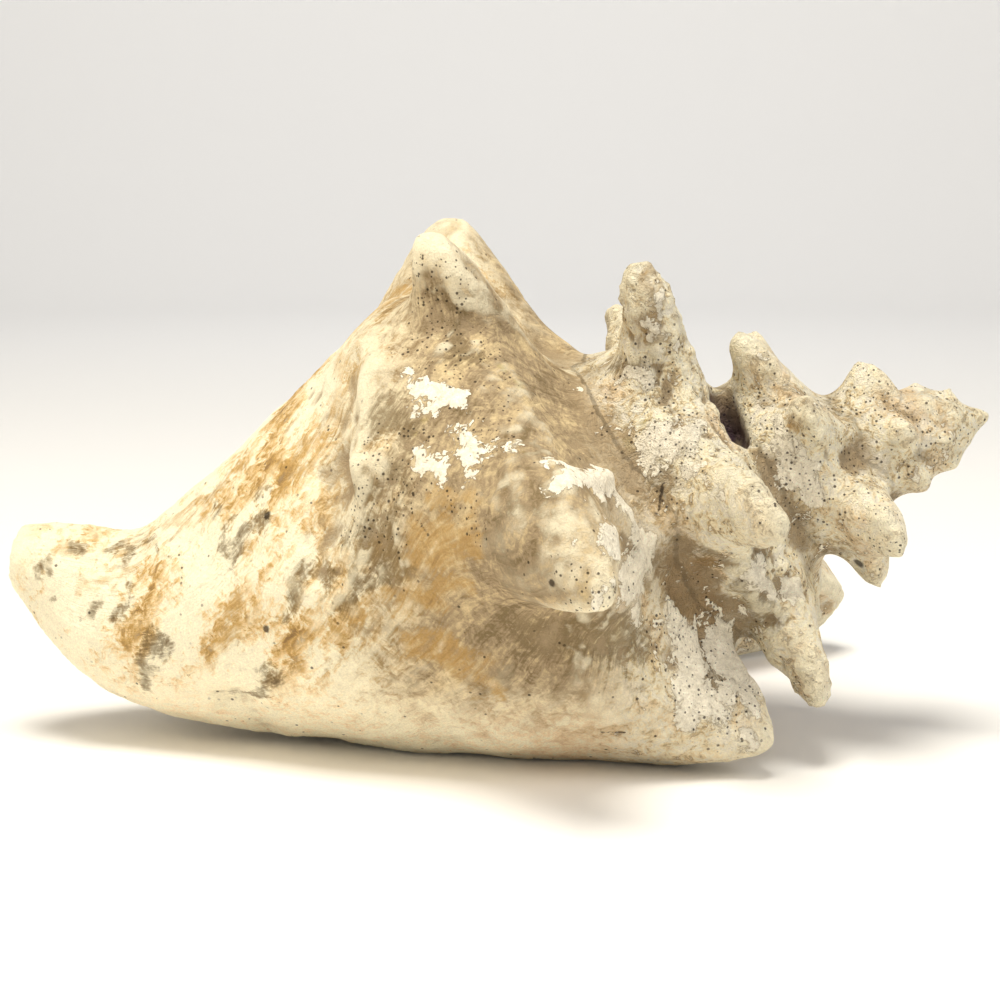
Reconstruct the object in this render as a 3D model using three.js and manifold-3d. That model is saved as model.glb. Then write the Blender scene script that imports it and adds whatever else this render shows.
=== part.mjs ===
// A sea-worn queen conch shell: one hollow piece of shell, lying with its mouth down.
// Millimetres, +Z up, spire towards +X, flared lip on the +Y side.
// Places on the shell are given as an angle round its axis, which runs on from whorl to whorl,
// and a drop, the distance along the axis from the tip of the spire.
// Angle 0 is the near side (-Y) of the last whorl, 90 its top, and the lip ends past the far side.
import * as THREE from "three";
import { mergeVertices } from "three/addons/utils/BufferGeometryUtils.js";
import Module from "manifold-3d";

// Driving dimensions
const STEP_ANGLE = 6;
const TURN = 360;
const LIP_ANGLE = 215;
const TIP_ANGLE = LIP_ANGLE - 6 * TURN;
const TIP_HEIGHT = 2;
const TIP_THICKNESS = 2.4;
const TIP_THICKENING = [-1700, -900];
const AXIS_LENGTH = 231;
const AXIS_TILT = 17.5;
const SHOULDER_RADIUS = 56.5;
const SHOULDER_DROP = 100;
const RADIUS_GROWTH = 1.67;
const DROP_GROWTH = 1.51;
const SLOWING_ANGLE = 60;
const SLOWING_SPAN = 240;
const SUTURE_REACH = 1.24;
const RAMP_HOLLOW = 0.15;
const SHOULDER_ROUNDING = 0.42;
const SIDE_FULLNESS = 1.5;
const SIDE_TAPER = 1.5;

// Siphonal canal
const CANAL_RADIUS = 14.5;
const CANAL_GROWTH = 1.08;
const CORE_SHARE = 0.3;
const SWEEP_LIFT = 12;
const SWEEP_START = 120;
const CANAL_LIFT = 17;
const CANAL_LIFT_START = 196;
const CANAL_LIFT_SPAN = 30;
const CANAL_TURN = 0.45;
const CANAL_ROUNDING = 16;
const CANAL_BLUNTNESS = 0.55;

// Flared lip
const FLARE_START = 120;
const FLARE_END = 230;
const LIP_SPREAD = 38.5;
const LIP_RISE = 79;
const FLARE_REACH = 0.95;
const CORNER_START = 150;
const CORNER_TURN = 0.1;
const CORNER_REACH = [-5, 35];

// Hollow inside, wound back from the mouth
const WALL = 5;
const LIP_WALL = 8;
const THICKENING_START = 120;
const HOLLOW_TURN = 300;
const MOUTH_OVERSHOOT = 24;
const HOLLOW_STEP = 15;
const HOLLOW_ROWS = [1, 2, 4, 5, 6, 7, 9, 11, 13, 15, 17, 19, 20];
const CALLUS = 0.4;
const CORE_RADIUS = 3;

// Groove of the canal, open underneath
const GROOVE_ANGLE = 226;
const GROOVE_RADIUS = 6.5;
const GROOVE_START = 176;
const GROOVE_DEPTH = 13;
const GROOVE_STEP = 6;
const GROOVE_SIDES = 10;

// Old slit knocked through the seam below the second knob of the spire
const SLIT_ANGLE = -310;
const SLIT_DROP = 61;
const SLIT_RADIUS = 23;
const SLIT_SIZE = [3, 16, 13];

// Height of the table under the axis at the tip
const TABLE = -78.5;
const TABLE_BLOCK = 400;

// Knobs on the shoulder. Height, half-width round the whorl, half-lengths towards spire and canal,
// how far the tip leans towards the spire, and how blunt it is, from a cone to a finger.
// Some also bend back round the whorl by a twist and have their foot below the shoulder.
const KNOB_SHARPNESS = 2.6;
const KNOB_ROUNDING = 0.5;
const FINGER_FALL = 2;
const FINGER_POWER = 3;
const FINGER_BLUNTNESS = 4;
const KNOB_REACH = 120;
const KNOBS = [
  { angle: 110, height: 21, width: 15, back: 22, front: 23, lean: 4, blunt: 0.3 },
  { angle: 75, height: 19, width: 10, back: 10, front: 14, lean: -3, blunt: 0.8 },
  { angle: 18, height: 27, width: 13, back: 13, front: 16, lean: 12, blunt: 0.6, twist: -17, foot: 9 },
  { angle: -55, height: 12, width: 13, back: 13, front: 18, lean: 18, blunt: 0.2 },
  { angle: -120, height: 6, width: 12, back: 12, front: 16, lean: 2, blunt: 0.2 },
  { angle: -175, height: 20, width: 9, back: 8, front: 11, lean: 0, blunt: 0.4 },
  { angle: -230, height: 22, width: 8, back: 6, front: 8, lean: -2, blunt: 0.6 },
  { angle: -290, height: 25, width: 7, back: 6, front: 7, lean: 1, blunt: 1 },
  { angle: -350, height: 23, width: 9, back: 8, front: 9, lean: 12, blunt: 0.7, twist: -11, foot: 7 },
  { angle: -420, height: 25, width: 8, back: 6, front: 9, lean: 0, blunt: 0.6 },
  { angle: -480, height: 20, width: 8, back: 8, front: 10, lean: 2, blunt: 0.4 },
  { angle: -540, height: 16, width: 7, back: 7, front: 8, lean: 0, blunt: 0.4 },
  { angle: -595, height: 16, width: 7, back: 7, front: 8, lean: 0, blunt: 0.4 },
  { angle: -645, height: 12, width: 8, back: 9, front: 11, lean: -1, blunt: 1 },
  { angle: -680, height: 13, width: 8, back: 8, front: 8, lean: 0, blunt: 0.7 },
  { angle: -750, height: 16, width: 7, back: 6, front: 7, lean: 7, blunt: 0.6 },
  { angle: -790, height: 15, width: 6, back: 6, front: 7, lean: 0, blunt: 0.6 },
  { angle: -845, height: 11, width: 6, back: 6, front: 6, lean: 1, blunt: 0.4 },
];
const OLD_KNOB_SPACING = 55;
const OLD_KNOB_HEIGHT = 0.6;
const OLD_KNOB_WIDTH = 0.32;
const OLD_KNOB_BLUNTNESS = 0.6;

const radians = THREE.MathUtils.degToRad;
const clamp = THREE.MathUtils.clamp;
const mix = THREE.MathUtils.lerp;
const smoothstep = THREE.MathUtils.smoothstep;

// Growth of the shoulder
function shoulder(angle) {
  const slowed = Math.max(0, angle - SLOWING_ANGLE);
  const drop = SHOULDER_DROP * DROP_GROWTH ** ((angle - (slowed * slowed) / SLOWING_SPAN) / TURN);
  const thicker = TIP_THICKNESS * (1 - smoothstep(angle, ...TIP_THICKENING));
  return { radius: SHOULDER_RADIUS * RADIUS_GROWTH ** (angle / TURN) + thicker, drop };
}

// The knobs of the old whorls follow one rule, in proportion to the whorl.
function oldKnobs() {
  const first = KNOBS.at(-1).angle - OLD_KNOB_SPACING;
  const made = [];
  for (let angle = first; angle > TIP_ANGLE; angle -= OLD_KNOB_SPACING) {
    const size = shoulder(angle).radius;
    made.push({
      angle,
      height: OLD_KNOB_HEIGHT * size,
      width: OLD_KNOB_WIDTH * size,
      back: OLD_KNOB_WIDTH * size,
      front: OLD_KNOB_WIDTH * size,
      lean: OLD_KNOB_WIDTH * size,
      blunt: OLD_KNOB_BLUNTNESS,
    });
  }
  return made;
}

const knobs = [...KNOBS, ...oldKnobs()];

// How strongly each knob lifts the surface at this place, from 0 to 1.
function knobPull(knob, angle, drop) {
  const own = shoulder(knob.angle);
  const round = (radians(angle - knob.angle) * own.radius) / knob.width;
  const along = drop - own.drop - (knob.foot ?? 0);
  const far = Math.hypot(round, along / (along < 0 ? knob.back : knob.front));
  const rounded = Math.hypot(far, KNOB_ROUNDING) - KNOB_ROUNDING;
  const cone = Math.exp(-KNOB_SHARPNESS * rounded);
  const finger = 1 / (1 + FINGER_FALL * far ** (FINGER_POWER + FINGER_BLUNTNESS * knob.blunt));
  return mix(cone, finger, knob.blunt);
}

function knobMove(angle, drop) {
  const move = { lift: 0, lean: 0, twist: 0 };
  for (const knob of knobs) {
    if (Math.abs(angle - knob.angle) > KNOB_REACH) continue;
    const pull = knobPull(knob, angle, drop);
    move.lift += knob.height * pull;
    move.lean += knob.lean * pull;
    move.twist += (knob.twist ?? 0) * pull;
  }
  return move;
}

const cornerRadius = (angle) => shoulder(angle).radius * (1 + SHOULDER_ROUNDING / 8);

// Radius of a whorl's side, which tapers from the shoulder to the canal.
function sideRadius(angle, drop) {
  const own = shoulder(angle);
  const corner = cornerRadius(angle);
  const down = (drop - own.drop) / (AXIS_LENGTH - own.drop);
  const end = Math.min(CANAL_RADIUS * CANAL_GROWTH ** (angle / TURN), CORE_SHARE * own.radius);
  const blunt = CANAL_BLUNTNESS * Math.max(0, 1 - (AXIS_LENGTH - drop) / CANAL_ROUNDING) ** 2;
  const taper = (1 - Math.max(0, down) ** SIDE_FULLNESS) ** SIDE_TAPER;
  return (end + (corner - end) * taper) * (1 - blunt);
}

// The seam where a whorl meets the one before it.
function suture(angle) {
  const drop = SUTURE_REACH * shoulder(angle - TURN).drop;
  return { radius: sideRadius(angle - TURN, drop) + knobMove(angle - TURN, drop).lift, drop };
}

function smoothMin(a, b, width) {
  const near = Math.max(width - Math.abs(a - b), 0) / width;
  return Math.min(a, b) - (near * near * width) / 4;
}

// Radius of a whorl's outer wall, without knobs: a hollow ramp, a rounded shoulder and the side.
function wallRadius(angle, drop) {
  const own = shoulder(angle);
  const seam = suture(angle);
  const up = (drop - seam.drop) / (own.drop - seam.drop);
  const hollow = RAMP_HOLLOW * own.radius * 4 * clamp(up, 0, 1) * (1 - clamp(up, 0, 1));
  const ramp = mix(seam.radius, cornerRadius(angle), up) - hollow;
  return smoothMin(ramp, sideRadius(angle, drop), SHOULDER_ROUNDING * own.radius);
}

// The upper corner of the lip ends earlier round the axis than the rest of its edge.
function turnedBack(angle, drop) {
  const upper = 1 - smoothstep(drop - shoulder(angle).drop, ...CORNER_REACH);
  return angle - CORNER_TURN * upper * Math.max(0, angle - CORNER_START);
}

// Share of the lip's spread at this place: most at the shoulder, none at the seam and the canal.
function flareShare(angle, drop) {
  const turned = turnedBack(angle, drop);
  const own = shoulder(turned);
  const seam = suture(turned);
  const wing = smoothstep(angle, FLARE_START, FLARE_END);
  const up = clamp((drop - seam.drop) / (own.drop - seam.drop), 0, 1);
  const down = clamp((drop - own.drop) / (AXIS_LENGTH - own.drop) / FLARE_REACH, 0, 1);
  return wing * Math.sin((up * Math.PI) / 2) * Math.cos((down * Math.PI) / 2) ** 2;
}

// A point of the wall: [radius, drop, angle].
function section(angle, drop, knobbed) {
  const share = flareShare(angle, drop);
  const turned = turnedBack(angle, drop);
  const move = knobbed ? knobMove(turned, drop) : { lift: 0, lean: 0, twist: 0 };
  return [
    wallRadius(turned, drop) + LIP_SPREAD * share + move.lift,
    drop - LIP_RISE * share - move.lean,
    turned + move.twist,
  ];
}

// From angle, radius and drop to the resting pose. The canal curls upwards at its end.
const tilt = radians(AXIS_TILT);
const ALONG = new THREE.Vector3(-Math.cos(tilt), 0, -Math.sin(tilt));
const UP = new THREE.Vector3(-Math.sin(tilt), 0, Math.cos(tilt));
const NEAR = new THREE.Vector3(0, -1, 0);

function place(angle, radius, drop) {
  const turned = radians(angle);
  const sweep = Math.max(0, (drop - SWEEP_START) / (AXIS_LENGTH - SWEEP_START));
  const hook = Math.max(0, (drop - CANAL_LIFT_START) / CANAL_LIFT_SPAN);
  const curl = SWEEP_LIFT * sweep ** 2 + CANAL_LIFT * hook ** 2;
  return new THREE.Vector3()
    .addScaledVector(ALONG, drop - CANAL_TURN * hook * radius * Math.sin(turned))
    .addScaledVector(NEAR, radius * Math.cos(turned))
    .addScaledVector(UP, radius * Math.sin(turned) + curl);
}

// Rows of points down each column: the ramp, the shoulder to the next seam, and the side to the canal.
const RAMP_ROWS = [0, 0.3, 0.6, 0.84, 1];
const COLLAR_ROWS = [0.33, 0.67, 1];
const SIDE_ROWS = 14;
const SEAM_ROW = RAMP_ROWS.length + COLLAR_ROWS.length - 1;
const LAST_ROW = SEAM_ROW + SIDE_ROWS;

function rowDrop(angle, row) {
  const own = shoulder(angle).drop;
  const collar = suture(angle + TURN).drop;
  if (row < RAMP_ROWS.length) return mix(suture(angle).drop, own, RAMP_ROWS[row]);
  if (row <= SEAM_ROW) return mix(own, collar, COLLAR_ROWS[row - RAMP_ROWS.length]);
  return mix(collar, AXIS_LENGTH, (row - SEAM_ROW) / SIDE_ROWS);
}

// A growing mesh of shared points and triangles.
class Skin {
  points = [];
  faces = [];
  add(point) {
    return this.points.push(point) - 1;
  }
  triangle(a, b, c) {
    if (a !== b && b !== c && c !== a) this.faces.push(a, b, c);
  }
  quad(a, b, c, d) {
    this.triangle(a, b, c);
    this.triangle(a, c, d);
  }
}

// The filled shell, grown from the tip to this angle and closed across its mouth.
// Left without knobs it is the older shell that shows in the hollow, under a thin callus.
function filledShell(endAngle, stepAngle, knobbed) {
  const skin = new Skin();
  const columns = [];
  const perTurn = TURN / stepAngle;
  const last = Math.round((endAngle - TIP_ANGLE) / stepAngle);
  const thicker = knobbed ? 0 : CALLUS;
  for (let c = 0; c <= last; c++) {
    const angle = TIP_ANGLE + c * stepAngle;
    const inSpire = c < last - perTurn;
    const column = [];
    for (let row = 0; row <= (inSpire ? SEAM_ROW : LAST_ROW); row++) {
      const meets = row === 0 && c >= perTurn;
      const [radius, drop, turned] = section(angle, rowDrop(angle, row), knobbed);
      const point = place(turned, radius + thicker, drop);
      column.push(meets ? columns[c - perTurn][SEAM_ROW] : skin.add(point));
    }
    columns.push(column);
  }
  for (let c = 0; c < last; c++) {
    const [here, next] = [columns[c], columns[c + 1]];
    const rows = Math.min(here.length, next.length) - 1;
    for (let row = 0; row < rows; row++) skin.quad(here[row], next[row], next[row + 1], here[row + 1]);
  }
  const tip = skin.add(place(0, 0, suture(TIP_ANGLE).drop - TIP_HEIGHT));
  for (let c = 0; c < perTurn; c++) skin.triangle(tip, columns[c + 1][0], columns[c][0]);
  for (let row = 0; row < SEAM_ROW; row++) skin.triangle(tip, columns[0][row], columns[0][row + 1]);
  const canalEnd = skin.add(place(0, 0, AXIS_LENGTH));
  for (let c = last - perTurn; c < last; c++) {
    skin.triangle(canalEnd, columns[c][LAST_ROW], columns[c + 1][LAST_ROW]);
  }
  const [outer, inner] = [columns[last], columns[last - perTurn]];
  for (let row = 0; row < LAST_ROW; row++) {
    const [a, b] = [inner[Math.max(row, SEAM_ROW)], inner[Math.max(row + 1, SEAM_ROW)]];
    skin.quad(outer[row + 1], outer[row], a, b);
  }
  skin.triangle(inner[LAST_ROW], canalEnd, outer[LAST_ROW]);
  return skin;
}

// A tube through rings of points, all with the same count, closed at both ends.
function tube(rings) {
  const skin = new Skin();
  const made = rings.map((ring) => ring.map((point) => skin.add(point)));
  const sides = rings[0].length;
  for (let r = 1; r < made.length; r++) {
    for (let i = 0; i < sides; i++) {
      const j = (i + 1) % sides;
      skin.quad(made[r - 1][i], made[r][i], made[r][j], made[r - 1][j]);
    }
  }
  const [first, last] = [made[0], made.at(-1)];
  for (let i = 1; i < sides - 1; i++) {
    skin.triangle(first[0], first[i], first[i + 1]);
    skin.triangle(last[0], last[i + 1], last[i]);
  }
  return skin;
}

// One ring of the hollow: the wall set in by its thickness, and back along the core.
function hollowRing(angle) {
  const thickness = mix(WALL, LIP_WALL, smoothstep(angle, THICKENING_START, LIP_ANGLE));
  const at = (row) => section(angle, rowDrop(angle, row), false);
  const outside = HOLLOW_ROWS.map((row) => {
    const [before, here, after] = [at(row - 1), at(row), at(row + 1)];
    const [across, along] = [after[0] - before[0], after[1] - before[1]];
    const inset = thickness / Math.hypot(across, along);
    return [Math.max(here[0] - along * inset, 2 * CORE_RADIUS), here[1] + across * inset, here[2]];
  });
  const core = outside.map(([, drop, turned]) => [CORE_RADIUS, drop, turned]).reverse();
  return [...outside, ...core].map(([radius, drop, turned]) => place(turned, radius, drop));
}

function hollow() {
  const rings = [];
  for (let angle = LIP_ANGLE - HOLLOW_TURN; angle <= LIP_ANGLE; angle += HOLLOW_STEP) {
    rings.push(hollowRing(angle));
  }
  rings.push(hollowRing(LIP_ANGLE + MOUTH_OVERSHOOT));
  return tube(rings);
}

function canalGroove() {
  const rings = [];
  for (let drop = GROOVE_START; drop <= AXIS_LENGTH + 2 * GROOVE_STEP; drop += GROOVE_STEP) {
    const middle = place(GROOVE_ANGLE, GROOVE_DEPTH, drop);
    const side = place(GROOVE_ANGLE - 90, GROOVE_RADIUS, drop).sub(place(0, 0, drop));
    const out = place(GROOVE_ANGLE, GROOVE_RADIUS, drop).sub(place(0, 0, drop));
    const ring = [];
    for (let i = 0; i < GROOVE_SIDES; i++) {
      const turned = (2 * Math.PI * i) / GROOVE_SIDES;
      ring.push(
        middle.clone().addScaledVector(out, Math.cos(turned)).addScaledVector(side, Math.sin(turned)),
      );
    }
    rings.push(ring);
  }
  return tube(rings);
}

const wasm = await Module();
wasm.setup();

function solidOf(skin) {
  return new wasm.Manifold(
    new wasm.Mesh({
      numProp: 3,
      vertProperties: new Float32Array(skin.points.flatMap((p) => p.toArray())),
      triVerts: new Uint32Array(skin.faces),
    }),
  );
}

function blockSolid(geometry) {
  geometry.deleteAttribute("normal");
  geometry.deleteAttribute("uv");
  const merged = mergeVertices(geometry);
  return new wasm.Manifold(
    new wasm.Mesh({
      numProp: 3,
      vertProperties: merged.attributes.position.array,
      triVerts: new Uint32Array(merged.index.array),
    }),
  );
}

function slitBlock() {
  const turned = radians(SLIT_ANGLE);
  const out = NEAR.clone().multiplyScalar(Math.cos(turned)).addScaledVector(UP, Math.sin(turned));
  const round = out.clone().cross(ALONG).negate();
  const block = new THREE.BoxGeometry(...SLIT_SIZE);
  block.applyMatrix4(new THREE.Matrix4().makeBasis(ALONG, out, round));
  block.translate(...place(SLIT_ANGLE, SLIT_RADIUS, SLIT_DROP));
  return blockSolid(block);
}

function geometryOf(solid) {
  const { vertProperties, triVerts } = solid.getMesh();
  return new THREE.BufferGeometry()
    .setAttribute("position", new THREE.BufferAttribute(vertProperties, 3))
    .setIndex(new THREE.BufferAttribute(triVerts, 1));
}

const largest = (solid) => solid.decompose().sort((a, b) => b.volume() - a.volume())[0];
const older = solidOf(filledShell(LIP_ANGLE - HOLLOW_TURN, HOLLOW_STEP, false));
const inside = largest(solidOf(hollow()).subtract(older));
const table = new THREE.BoxGeometry(2 * TABLE_BLOCK, TABLE_BLOCK, TABLE_BLOCK);
table.translate(-TABLE_BLOCK / 2, 0, TABLE - TABLE_BLOCK / 2);
const shellSolid = solidOf(filledShell(LIP_ANGLE, STEP_ANGLE, true))
  .subtract(inside)
  .subtract(solidOf(canalGroove()))
  .subtract(slitBlock())
  .subtract(blockSolid(table));

// The origin is under the middle of the shell, on the table.
const geometry = geometryOf(shellSolid);
geometry.computeBoundingBox();
const middle = geometry.boundingBox.getCenter(new THREE.Vector3());
geometry.translate(-middle.x, -middle.y, -geometry.boundingBox.min.z);

const material = new THREE.MeshStandardMaterial({ color: "#d9c7a3", roughness: 0.85, metalness: 0 });
const shell = new THREE.Mesh(geometry, material);
shell.name = "shell";
const conch = new THREE.Group();
conch.name = "conch";
conch.add(shell);
export default conch;
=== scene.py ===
import math

import bpy
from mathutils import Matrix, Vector


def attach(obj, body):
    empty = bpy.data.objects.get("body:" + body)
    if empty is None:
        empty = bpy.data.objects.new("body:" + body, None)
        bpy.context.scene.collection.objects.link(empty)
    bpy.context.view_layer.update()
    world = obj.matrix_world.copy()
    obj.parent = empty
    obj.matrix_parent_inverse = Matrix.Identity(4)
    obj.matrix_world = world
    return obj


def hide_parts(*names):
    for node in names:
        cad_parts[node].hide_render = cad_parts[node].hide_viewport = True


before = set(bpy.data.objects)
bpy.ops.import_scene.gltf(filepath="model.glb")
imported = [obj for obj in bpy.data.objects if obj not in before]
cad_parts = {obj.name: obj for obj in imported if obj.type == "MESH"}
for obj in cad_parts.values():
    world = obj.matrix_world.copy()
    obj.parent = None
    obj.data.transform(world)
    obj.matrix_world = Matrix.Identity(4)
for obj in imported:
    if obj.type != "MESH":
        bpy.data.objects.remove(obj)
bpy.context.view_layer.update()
print("frame loaded")


class Wire:  # one socket of a node tree, so that sums can be written as sums
    def __init__(self, tree, socket=None):
        self.tree = tree
        self.socket = socket

    def node(self, kind, settings, sockets):  # any node: its settings first, then values and links
        made = self.tree.nodes.new(kind)
        for name, value in settings.items():
            if name == "stops":  # a ramp's places and colours
                ends = made.color_ramp.elements
                ends[0].position, ends[0].color = value[0]
                ends[1].position, ends[1].color = value[-1]
                for place, tint in value[1:-1]:
                    ends.new(place).color = tint
            else:
                setattr(made, name, value)
        for key, value in sockets.items():
            if isinstance(value, Wire):
                self.tree.links.new(value.socket, made.inputs[key])
            else:
                made.inputs[key].default_value = value
        return made

    def wire(self, kind, settings, sockets, output=0):
        return Wire(self.tree, self.node(kind, settings, sockets).outputs[output])

    def math(self, operation, *others):
        return self.wire("ShaderNodeMath", {"operation": operation}, dict(enumerate((self, *others))))

    def back(self, operation, first):
        return self.wire("ShaderNodeMath", {"operation": operation}, {0: first, 1: self})

    def vector(self, operation, sockets, output="Vector"):
        return self.wire("ShaderNodeVectorMath", {"operation": operation}, {0: self, **sockets}, output)

    def __add__(self, other):
        return self.math("ADD", other)

    def __radd__(self, other):
        return self.math("ADD", other)

    def __sub__(self, other):
        return self.math("SUBTRACT", other)

    def __rsub__(self, other):
        return self.back("SUBTRACT", other)

    def __mul__(self, other):
        return self.math("MULTIPLY", other)

    def __rmul__(self, other):
        return self.math("MULTIPLY", other)

    def __truediv__(self, other):
        return self.math("DIVIDE", other)

    def __rtruediv__(self, other):
        return self.back("DIVIDE", other)

    def __pow__(self, other):
        return self.math("POWER", other)

    def __rpow__(self, other):
        return self.back("POWER", other)

    def __neg__(self):
        return self.math("MULTIPLY", -1.0)

    def least(self, other):
        return self.math("MINIMUM", other)

    def most(self, other):
        return self.math("MAXIMUM", other)

    def held(self):  # kept between 0 and 1
        return self.least(1.0).most(0.0)

    def smooth(self, low, high):  # 0 below low, 1 above high
        return self.wire(
            "ShaderNodeMapRange",
            {"interpolation_type": "SMOOTHSTEP"},
            {"Value": self, "From Min": low, "From Max": high},
        )

    def parts(self):
        made = self.node("ShaderNodeSeparateXYZ", {}, {0: self})
        return [Wire(self.tree, out) for out in made.outputs]

    def joined(self, y, z):
        return self.wire("ShaderNodeCombineXYZ", {}, {0: self, 1: y, 2: z})

    def noise(self, scale, detail=2.0, roughness=0.5):  # around 0, about -0.6 to 0.6
        made = self.wire(
            "ShaderNodeTexNoise",
            {"noise_dimensions": "3D"},
            {"Vector": self, "Scale": scale, "Detail": detail, "Roughness": roughness},
        )
        return made * 2.5 - 1.25

    def bent(self, scale, reach):  # the place, pushed about by a noise
        push = self.wire("ShaderNodeTexNoise", {}, {"Vector": self, "Scale": scale, "Detail": 2.0}, "Color")
        push = push.vector("SUBTRACT", {1: (0.5, 0.5, 0.5)}).vector("SCALE", {"Scale": reach})
        return self.vector("ADD", {1: push})

    def gap(self, first, second):  # the way to the line between two places
        if first == second:
            return self.vector("DISTANCE", {1: first}, "Value")
        way = Vector(second) - Vector(first)
        rest = self.vector("SUBTRACT", {1: first})
        share = (rest.vector("DOT_PRODUCT", {1: way}, "Value") / max(way.length_squared, 1.0)).held()
        nearest = self.wire("ShaderNodeVectorMath", {"operation": "SCALE"}, {0: way, "Scale": share})
        return rest.vector("SUBTRACT", {1: nearest}).vector("LENGTH", {}, "Value")

    def stored(self, mesh, name, value):  # the value kept on every point of the mesh
        return self.wire(
            "GeometryNodeStoreNamedAttribute",
            {"data_type": "FLOAT", "domain": "POINT"},
            {"Geometry": mesh, "Name": name, "Value": value},
        )

    def cells(self, scale):  # the way to the nearest of scattered points, and a chance for each point
        made = self.node("ShaderNodeTexVoronoi", {"feature": "F1"}, {"Vector": self, "Scale": scale})
        return Wire(self.tree, made.outputs["Distance"]), Wire(self.tree, made.outputs["Color"]).parts()[0]


# Growth of the shell, in millimetres and degrees: angle runs on from whorl to whorl,
# drop is the way along the axis from the tip of the spire
shellSettings = {
    "Shoulder Radius": 56.5,
    "Shoulder Drop": 100.0,
    "Radius Growth": 1.67,
    "Drop Growth": 1.51,
    "Axis Length": 231.0,
    "Lip Angle": 215.0,
    "Turns": 6.0,
    "Lip Spread": 38.5,
    "Lip Rise": 76.0,
    "Wall": 5.0,
    "Lip Wall": 8.0,
}
growthDetail = {
    "columnStep": 1.5,
    "rampRows": 50,
    "collarRows": 14,
    "sideRows": 96,
    "hollowTurn": 300.0,
    "hollowStep": 3.0,
    "hollowRows": 60,
    "lipColumns": 6,
    "voxel": 0.0011,
    "keptShare": 0.6,
    "axisTilt": 17.5,
    "suture": 1.24,
    "rampHollow": 0.15,
    "rounding": 0.42,  # of the shoulder, as a share of its radius
    "slowFrom": 60.0,
    "slowSpan": 240.0,
    "tipThick": 3.0,
    "canalRadius": 14.5,
    "canalGrowth": 1.08,
    "coreShare": 0.3,
    "canalEnd": 16.0,
    "canalBlunt": 0.55,
    "sweepFrom": 120.0,
    "sweepLift": 12.0,
    "hookFrom": 196.0,
    "hookSpan": 30.0,
    "hookLift": 17.0,
    "hookTurn": 0.45,
    "grooveAngle": -134.0,
    "grooveWidth": 20.0,
    "grooveDepth": 0.55,
    "flareFrom": 120.0,
    "flareReach": 0.95,
    "cornerFrom": 150.0,
    "cornerTurn": 0.1,
    "cornerReach": (-5.0, 35.0),
    "ridgeHeight": 6.0,
    "slitAngles": (-306.0, -666.0),  # through the whorl and the older one behind it
    "slitDrop": 63.5,
    "slitHalfWidth": 2.4,
    "slitHalfAngle": 20.0,
    "slitDepth": 12.0,
    "origin": (119.11, -9.16, 78.5),
}
# angle, height, half-width, half-length to the spire, half-length to the canal,
# lean to the spire, bluntness, twist of the tip in degrees, way of the foot down from the shoulder
knobList = [
    (110, 21, 15, 22, 23, 4, 0.3, 0, 0),
    (72, 22, 8, 9, 13, -3, 0.8, 0, 0),
    (18, 28, 14, 13, 17, 12, 0.5, -17, 9),
    (-55, 12, 13, 13, 18, 18, 0.2, 0, 0),
    (-120, 6, 12, 12, 16, 2, 0.2, 0, 0),
    (-175, 20, 9, 8, 11, 0, 0.4, 0, 0),
    (-230, 22, 8, 6, 8, -2, 0.6, 0, 0),
    (-290, 26, 8, 5.5, 10, 1, 0.8, 0, 0),
    (-350, 24, 9, 8, 9, 12, 0.45, -11, 7),
    (-420, 25, 8, 6, 9, 0, 0.6, 0, 0),
    (-480, 20, 8, 8, 10, 2, 0.4, 0, 0),
    (-540, 16, 7, 7, 8, 0, 0.4, 0, 0),
    (-595, 16, 7, 7, 8, 0, 0.4, 0, 0),
    (-642, 13, 6.5, 6, 10, -5, 1.0, 0, 0),
    (-688, 11, 6, 7, 7, 0, 0.7, 0, 0),
    (-750, 16, 7, 6, 7, 7, 0.6, 0, 0),
    (-790, 15, 6, 6, 7, 0, 0.6, 0, 0),
    (-845, 11, 6, 6, 6, 1, 0.4, 0, 0),
    (-990, 7, 3.5, 3.5, 4, -1, 0.6, 0, 0),
]
oldKnobs = {"first": -900.0, "spacing": 55.0, "height": 0.42, "width": 0.34, "blunt": 0.7}


def slowed(angle):
    return angle - max(0.0, angle - growthDetail["slowFrom"]) ** 2 / growthDetail["slowSpan"]


def radiusAt(angle):
    return shellSettings["Shoulder Radius"] * shellSettings["Radius Growth"] ** (angle / 360.0)


def dropAt(angle):
    return shellSettings["Shoulder Drop"] * shellSettings["Drop Growth"] ** (slowed(angle) / 360.0)


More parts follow.
